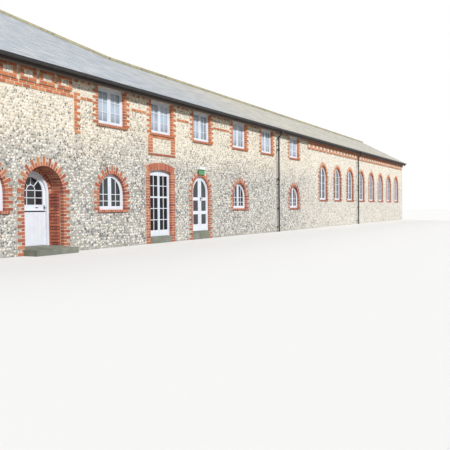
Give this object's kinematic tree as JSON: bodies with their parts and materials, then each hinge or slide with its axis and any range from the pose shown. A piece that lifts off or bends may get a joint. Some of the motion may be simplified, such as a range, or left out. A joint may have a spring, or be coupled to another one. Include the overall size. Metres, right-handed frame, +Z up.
{
  "type": "flint and brick farm range",
  "caption": "Long two-storey flint building with brick arches, a deeper hipped block at its near end, a slate roof and opening arched doors.",
  "frame": {"origin": "bottom centre of the whole building's box, at the foot of the walls", "axes": "+Z up, +X along the front towards the far gable, -Y out of the front wall"},
  "size_m": [39.82, 11.817, 7.3769],
  "materials": {
    "flint": "rough",
    "floor_stone": "rough",
    "timber": "matte",
    "slate": "matte",
    "roof_tile": "matte",
    "black_paint": "satin",
    "brick": "rough",
    "white_paint": "satin",
    "glass": "gloss",
    "step_stone": "rough",
    "lamp": "matte"
  },
  "bodies": {
    "building": {"front_wall_near": "flint", "door1_head": "flint", "front_wall_second": "flint", "door3_head": "flint", "front_wall_third": "flint", "door4_head": "flint", "front_wall_middle": "flint", "front_wall_far": "flint", "far_end_wall": "flint", "near_end_wall": "flint", "range_back_wall": "flint", "block_side_wall": "flint", "block_back_wall": "flint", "ground_floor": "floor_stone", "upper_floor": "timber", "floor_edge_beam": "timber", "roof_front": "slate", "roof_range_back": "slate", "roof_block_side": "slate", "roof_block_back": "slate", "ridge_and_hip_rolls": "roof_tile", "fascia_boards": "black_paint", "gutters": "black_paint", "downpipes": "black_paint", "eaves_course": "brick", "near_eaves_course": "brick", "far_eaves_course": "brick", "brick_lacing": "brick", "door_arch_rings": "brick", "door_jambs": "brick", "yard_window_dressings": "brick", "hall_window_dressings": "brick", "upper_window_dressings": "brick", "upper_window_sills": "brick", "arched_window_sills": "brick", "door1_rebate_brickwork": "brick", "upper_window_frames": "white_paint", "yard_window_frames": "white_paint", "hall_window_frames": "white_paint", "door1_frame": "white_paint", "door3_frame": "white_paint", "door4_frame": "white_paint", "upper_window_glass": "glass", "yard_window_glass": "glass", "hall_window_glass": "glass", "door_sills": "step_stone", "door1_step": "step_stone", "exit_lamp": "lamp"},
    "door1_lower": {"door1_lower_leaf": "white_paint"},
    "door1_upper": {"door1_upper_leaf": "white_paint", "door1_glass": "glass"},
    "door3_left": {"door3_left_leaf": "white_paint", "door3_left_glass": "glass"},
    "door3_right": {"door3_right_leaf": "white_paint", "door3_right_glass": "glass"},
    "door4_left": {"door4_left_leaf": "white_paint", "door4_left_glass": "glass"},
    "door4_right": {"door4_right_leaf": "white_paint", "door4_right_glass": "glass"}
  },
  "joints": [
    {"name": "door1_lower_hinge", "type": "hinge", "parent": "building", "child": "door1_lower", "pos_m": [-17.466, -5.0515, 0.5], "axis": [0, 0, 1], "range_deg": [0, 100]},
    {"name": "door1_upper_hinge", "type": "hinge", "parent": "building", "child": "door1_upper", "pos_m": [-17.466, -5.0515, 1.4], "axis": [0, 0, 1], "range_deg": [0, 100]},
    {"name": "door3_left_hinge", "type": "hinge", "parent": "building", "child": "door3_left", "pos_m": [-12.9085, -5.4455, 1], "axis": [0, 0, -1], "range_deg": [0, 90]},
    {"name": "door3_right_hinge", "type": "hinge", "parent": "building", "child": "door3_right", "pos_m": [-11.9215, -5.4455, 1], "axis": [0, 0, 1], "range_deg": [0, 90]},
    {"name": "door4_left_hinge", "type": "hinge", "parent": "building", "child": "door4_left", "pos_m": [-10.604, -5.4755, 1], "axis": [0, 0, -1], "range_deg": [0, 90]},
    {"name": "door4_right_hinge", "type": "hinge", "parent": "building", "child": "door4_right", "pos_m": [-9.662, -5.4755, 1], "axis": [0, 0, 1], "range_deg": [0, 90]}
  ]
}
